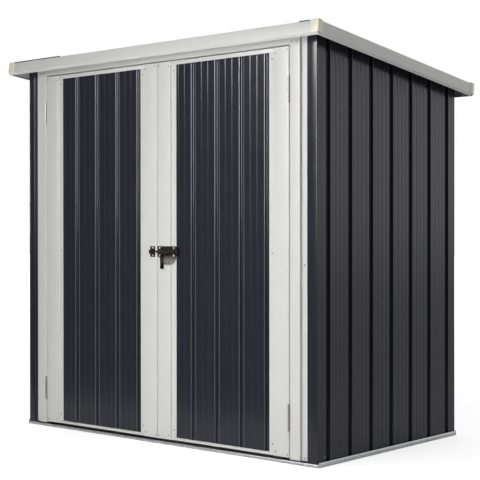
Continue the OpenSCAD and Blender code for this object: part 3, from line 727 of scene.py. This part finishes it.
screw_zinc, tree, where = start_finish("Dull zinc-plated screw steel")
clouds = add(tree, "ShaderNodeTexNoise", {"Vector": where, "Scale": 1 / PLATING_CLOUDS})[0]
plating = add(
    tree, "ShaderNodeMix", {0: clouds, 6: linear(SCREW_DARK), 7: linear(SCREW_LIGHT)}, data_type="RGBA"
)[2]
steel = add(tree, "ShaderNodeBsdfPrincipled", {"Base Color": plating, "Roughness": 0.42, "Metallic": 0.7})
add(tree, "ShaderNodeOutputMaterial", {"Surface": steel["BSDF"]})

screw_bright, tree, where = start_finish("Bright zinc-plated screw steel")
clouds = add(tree, "ShaderNodeTexNoise", {"Vector": where, "Scale": 1 / PLATING_CLOUDS})[0]
gloss = add(tree, "ShaderNodeMapRange", {"Value": clouds, "To Min": 0.3, "To Max": 0.4})[0]
steel = add(tree, "ShaderNodeBsdfPrincipled", {
    "Base Color": linear(SCREW_BRIGHT), "Roughness": gloss, "Metallic": 0.4,
})
add(tree, "ShaderNodeOutputMaterial", {"Surface": steel["BSDF"]})

# The tree stands a dome and a washer on every point of the base mesh, turned to the point's facing.
screws = bpy.data.node_groups.new("Screw heads", "GeometryNodeTree")
for name, kind in (
    ("Points", "Geometry"), ("Head radius", "Float"), ("Head rise", "Float"), ("Washer radius", "Float"),
    ("Washer thickness", "Float"), ("Material", "Material"),
):
    screws.interface.new_socket(name=name, in_out="INPUT", socket_type="NodeSocket" + kind)
screws.interface.new_socket(name="Screws", in_out="OUTPUT", socket_type="NodeSocketGeometry")
given = add(screws, "NodeGroupInput")
ball = add(
    screws, "GeometryNodeMeshUVSphere", {"Segments": HEAD_SEGMENTS, "Rings": HEAD_RINGS, "Radius": 1}
)["Mesh"]
dome_size = add(screws, "ShaderNodeCombineXYZ", {
    "X": given["Head radius"], "Y": given["Head radius"], "Z": given["Head rise"],
})[0]
dome = add(screws, "GeometryNodeTransform", {"Geometry": ball, "Scale": dome_size})[0]
washer = add(screws, "GeometryNodeMeshCylinder", {
    "Vertices": WASHER_SEGMENTS, "Radius": given["Washer radius"], "Depth": given["Washer thickness"],
})["Mesh"]
head = add(screws, "GeometryNodeJoinGeometry", {"Geometry": [dome, washer]})[0]
facing = add(
    screws, "GeometryNodeInputNamedAttribute", {"Name": "facing"}, data_type="FLOAT_VECTOR"
)["Attribute"]
turn = add(screws, "FunctionNodeAlignRotationToVector", {"Vector": facing}, axis="Z")[0]
stood = add(screws, "GeometryNodeInstanceOnPoints", {
    "Points": given["Points"], "Instance": head, "Rotation": turn,
})[0]
stood = add(screws, "GeometryNodeRealizeInstances", {"Geometry": stood})[0]
bend = add(screws, "GeometryNodeInputMeshEdgeAngle")["Unsigned Angle"]
rim = add(screws, "FunctionNodeCompare", {"A": bend, "B": SMOOTH_BELOW}, operation="GREATER_THAN")[0]
stood = add(screws, "GeometryNodeSetShadeSmooth", {"Geometry": stood, "Shade Smooth": True})[0]
stood = add(
    screws, "GeometryNodeSetShadeSmooth", {"Geometry": stood, "Selection": rim, "Shade Smooth": False},
    domain="EDGE",
)[0]
stood = add(screws, "GeometryNodeSetMaterial", {"Geometry": stood, "Material": given["Material"]})[0]
add(screws, "NodeGroupOutput", {"Screws": stood})


def screw_set(name, body, places, material, scale=1):
    """One mesh of screws at these places, each a point and the direction that its head faces."""
    points = bpy.data.meshes.new(name)
    points.from_pydata([point for point, way in places], [], [])
    ways = points.attributes.new("facing", "FLOAT_VECTOR", "POINT")
    ways.data.foreach_set("vector", [part for point, way in places for part in way])
    piece = grow(name, screws, {
        "Head radius": HEAD_R * scale, "Head rise": HEAD_RISE * scale, "Washer radius": WASHER_R * scale,
        "Washer thickness": WASHER_T * scale, "Material": material,
    }, base=points)
    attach(piece, body)


FRONT, BACK, LEFT, RIGHT = (0, -1, 0), (0, 1, 0), (-1, 0, 0), (1, 0, 0)
# Door screws: distances in from a stile's edge, and below its top and above its foot.
EDGE_IN, EDGE_BELOW, EDGE_ABOVE = 9 * MM, 13 * MM, 11 * MM
NEXT_IN, NEXT_BELOW, NEXT_ABOVE = 70 * MM, 22 * MM, 19 * MM
FLANGE_IN, FLANGE_RISE, FLANGE_MID_Z = 95 * MM, 44 * MM, 872 * MM
# Frame screws: beside the header, on the jambs' flanges, and along and half way up the walls.
HEADER_BESIDE, HEADER_ABOVE = (10 * MM, 35 * MM), 11 * MM
JAMB_IN, JAMB_ZS = 12 * MM, (30 * MM, 825 * MM)
SIDE_FRONT_Y, SIDE_JOINT_Y, SIDE_MIDDLE_Y, SIDE_REAR_Y = -480 * MM, -18 * MM, 130 * MM, 451 * MM
WALL_FOOT_Z, SIDE_MID_Z, BACK_MID_Z = 36 * MM, 833 * MM, 880 * MM
# Latch screws: in from the ends of the plate and the keeper, and above and below the bolt.
PLATE_T, PLATE_LEFT_IN, PLATE_RIGHT_IN, KEEPER_IN = 2 * MM, 15 * MM, 22 * MM, 18 * MM
LATCH_SCREW_ZS = (17 * MM, -17 * MM)
LATCH_SCREW_SCALE = 0.8

face_y = stile_low.y
outer = stile_high.x
inner = lock_low.x
for door, sign in (("left", -1), ("right", 1)):
    places = []
    for y, from_edge, below, above in (
        (face_y, EDGE_IN, EDGE_BELOW, EDGE_ABOVE),
        (face_y, NEXT_IN, NEXT_BELOW, NEXT_ABOVE),
        (stile_flange_y, FLANGE_IN, FLANGE_RISE, FLANGE_RISE),
    ):
        for z in (stile_high.z - below, stile_low.z + above):
            places += [((sign * x, y, z), FRONT) for x in (inner + from_edge, outer - from_edge)]
    places.append(((sign * (outer - FLANGE_IN), stile_flange_y, FLANGE_MID_Z), FRONT))
    screw_set(f"{door}_door_screws", f"{door}_door", places, screw_zinc)

frame_places = []
for sign, way in ((-1, LEFT), (1, RIGHT)):
    for x in HEADER_BESIDE:
        frame_places.append(((sign * (header_high.x + x), header_low.y, header_low.z + HEADER_ABOVE), FRONT))
    for z in JAMB_ZS:
        frame_places.append(((sign * (jamb_high.x - JAMB_IN), flange_y, z), FRONT))
    for y in (SIDE_FRONT_Y, SIDE_JOINT_Y, SIDE_MIDDLE_Y, SIDE_REAR_Y):
        frame_places.append(((sign * wall_x, y, WALL_FOOT_Z), way))
    for y in (SIDE_JOINT_Y, SIDE_REAR_Y):
        frame_places.append(((sign * wall_x, y, SIDE_MID_Z), way))
back_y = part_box("wall_back_middle")[1].y
for i in range(-BACK_SIDE_GROOVES, BACK_SIDE_GROOVES):
    for z in (WALL_FOOT_Z, BACK_MID_Z):
        frame_places.append((((i + 0.5) * WALL_PITCH, back_y, z), BACK))
screw_set("frame_screws", "root", frame_places, screw_zinc)

plate_low, plate_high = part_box("latch_plate")
for name, body, xs in (
    ("latch_screws", "right_door", (plate_low.x + PLATE_LEFT_IN, plate_high.x - PLATE_RIGHT_IN)),
    ("keeper_screws", "left_door", (keeper_low.x + KEEPER_IN,)),
):
    places = [((x, face_y - PLATE_T, latch_z + z), FRONT) for x in xs for z in LATCH_SCREW_ZS]
    screw_set(name, body, places, screw_bright, LATCH_SCREW_SCALE)


# Studio: a white floor, and a room that is dark in front of the shed and pale behind it.
# Three lamps fill it with soft light, and three strips only shine, for the bright lines on grooves and beads.
# The camera stands at the photograph's place and sees plain white behind the shed.
CAMERA_AT = Vector((3.8839, -4.4825, 0.9552))
CAMERA_YAW = math.radians(40.67)
CAMERA_PITCH = math.radians(-0.311)
CAMERA_ROLL = math.radians(0.047)
LENS = 91.19
SENSOR = 36
FLOOR_HALF = 40
FLOOR_FRONT = -1.3
FLOOR_GLOW = 0.6
FLOOR_GLOW_FAR = 0.95
FLOOR_NEAR = 2
FLOOR_FAR = 9
FLOOR_WHITE = "E8E8E8"
FLOOR_INSIDE_PAINTED_SHADE = "D0D0D0"
INSIDE_IN = 2 * MM
WHITE = "FFFFFF"
SOFT_BOX_TO = Vector((0.1, -0.5, 1.1))
# Each has a name, place, width, height and power, and tells whether it lights matt surfaces and shows in gloss.
SOFT_BOXES = (
    ("key", Vector((0.65, -2.5, 1.15)), 0.75, 1.3, 26, True, False),
    ("tall_strip", Vector((0.6, -2.5, 1.7)), 0.75, 1.3, 55, False, True),
    ("floor_bounce", Vector((0.4, -2.2, 0.1)), 2.4, 0.8, 8, True, False),
    ("high_bank", Vector((-0.7, -3.2, 2.2)), 1.4, 0.8, 17, True, False),
    ("high_strip", Vector((-0.3, -3.2, 2.4)), 1.2, 0.7, 45, False, True),
    ("left_side", Vector((-3.2, -0.35, 1.7)), 0.4, 1.6, 100, False, True),
)
ROOM_FRONT = 0.03
ROOM_FRONT_EDGE = -0.7
ROOM_BACK = 0.95
ROOM_SOFT_SHARE = 1.15

camera_data = bpy.data.cameras.new("camera")
camera_data.lens = LENS
camera_data.sensor_width = SENSOR
camera = bpy.data.objects.new("camera", camera_data)
bpy.context.scene.collection.objects.link(camera)
camera.location = CAMERA_AT
camera.rotation_euler = (math.radians(90) + CAMERA_PITCH, CAMERA_ROLL, CAMERA_YAW)
bpy.context.scene.camera = camera

for name, place, wide, high, power, fills, shines in SOFT_BOXES:
    lamp = bpy.data.lights.new(name, "AREA")
    lamp.shape = "RECTANGLE"
    lamp.size = wide
    lamp.size_y = high
    lamp.energy = power
    soft_box = bpy.data.objects.new(name, lamp)
    bpy.context.scene.collection.objects.link(soft_box)
    soft_box.location = place
    soft_box.rotation_euler = (SOFT_BOX_TO - place).to_track_quat("-Z", "Y").to_euler()
    soft_box.visible_camera = False
    soft_box.visible_diffuse = fills
    soft_box.visible_glossy = shines

world = bpy.data.worlds.new("Studio room")
bpy.context.scene.world = world
world.use_nodes = True
tree = world.node_tree
tree.nodes.clear()
way = add(tree, "ShaderNodeSeparateXYZ", {0: add(tree, "ShaderNodeTexCoord")["Generated"]})["Y"]
room = add(tree, "ShaderNodeMapRange", {
    "Value": way, "From Min": ROOM_FRONT_EDGE, "From Max": 1, "To Min": ROOM_FRONT, "To Max": ROOM_BACK,
})[0]
path = add(tree, "ShaderNodeLightPath")
soft = add(tree, "ShaderNodeMath", {0: room, 1: ROOM_SOFT_SHARE}, operation="MULTIPLY")[0]
mirrored = add(tree, "ShaderNodeMix", {0: path["Is Glossy Ray"], 2: soft, 3: room}, data_type="FLOAT")[0]
strength = add(tree, "ShaderNodeMix", {0: path["Is Camera Ray"], 2: mirrored, 3: 1}, data_type="FLOAT")[0]
sky = add(tree, "ShaderNodeBackground", {"Color": linear(WHITE), "Strength": strength})
add(tree, "ShaderNodeOutputWorld", {"Surface": sky[0]})

# The floor inside the shed has no glow of its own and a darker grey as painted shade, so the gap under the
# doors stays dark.
floor_mesh = bpy.data.meshes.new("floor")
base_low, base_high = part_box("base_rail_left")
inside_x, inside_y0, inside_y1 = -base_low.x - INSIDE_IN, base_low.y + INSIDE_IN, base_high.y - INSIDE_IN
outside = [
    (-FLOOR_HALF, FLOOR_FRONT), (FLOOR_HALF, FLOOR_FRONT), (FLOOR_HALF, FLOOR_HALF), (-FLOOR_HALF, FLOOR_HALF)
]
inside = [(-inside_x, inside_y0), (inside_x, inside_y0), (inside_x, inside_y1), (-inside_x, inside_y1)]
sides = [(i, (i + 1) % 4, 4 + (i + 1) % 4, 4 + i) for i in range(4)]
floor_mesh.from_pydata([(x, y, 0) for x, y in outside + inside], [], sides + [(4, 5, 6, 7)])
floor = bpy.data.objects.new("floor", floor_mesh)
bpy.context.scene.collection.objects.link(floor)
dim_floor, tree, where = start_finish("Floor inside the shed")
matt = add(tree, "ShaderNodeBsdfDiffuse", {"Color": linear(FLOOR_INSIDE_PAINTED_SHADE)})[0]
add(tree, "ShaderNodeOutputMaterial", {"Surface": matt})
white_floor, tree, where = start_finish("White studio floor")
matt = add(tree, "ShaderNodeBsdfDiffuse", {"Color": linear(FLOOR_WHITE)})[0]
seen = add(tree, "ShaderNodeLightPath")["Is Camera Ray"]
away = add(tree, "ShaderNodeVectorMath", {0: where}, operation="LENGTH")["Value"]
lifted = add(tree, "ShaderNodeMapRange", {
    "Value": away, "From Min": FLOOR_NEAR, "From Max": FLOOR_FAR,
    "To Min": FLOOR_GLOW, "To Max": FLOOR_GLOW_FAR,
})[0]
glow = add(tree, "ShaderNodeMath", {0: seen, 1: lifted}, operation="MULTIPLY")[0]
lift = add(tree, "ShaderNodeEmission", {"Color": linear(WHITE), "Strength": glow})[0]
both = add(tree, "ShaderNodeAddShader", {0: matt, 1: lift})[0]
add(tree, "ShaderNodeOutputMaterial", {"Surface": both})
floor_mesh.materials.append(white_floor)
floor_mesh.materials.append(dim_floor)
floor_mesh.polygons[4].material_index = 1

bpy.context.scene.view_settings.view_transform = "Standard"
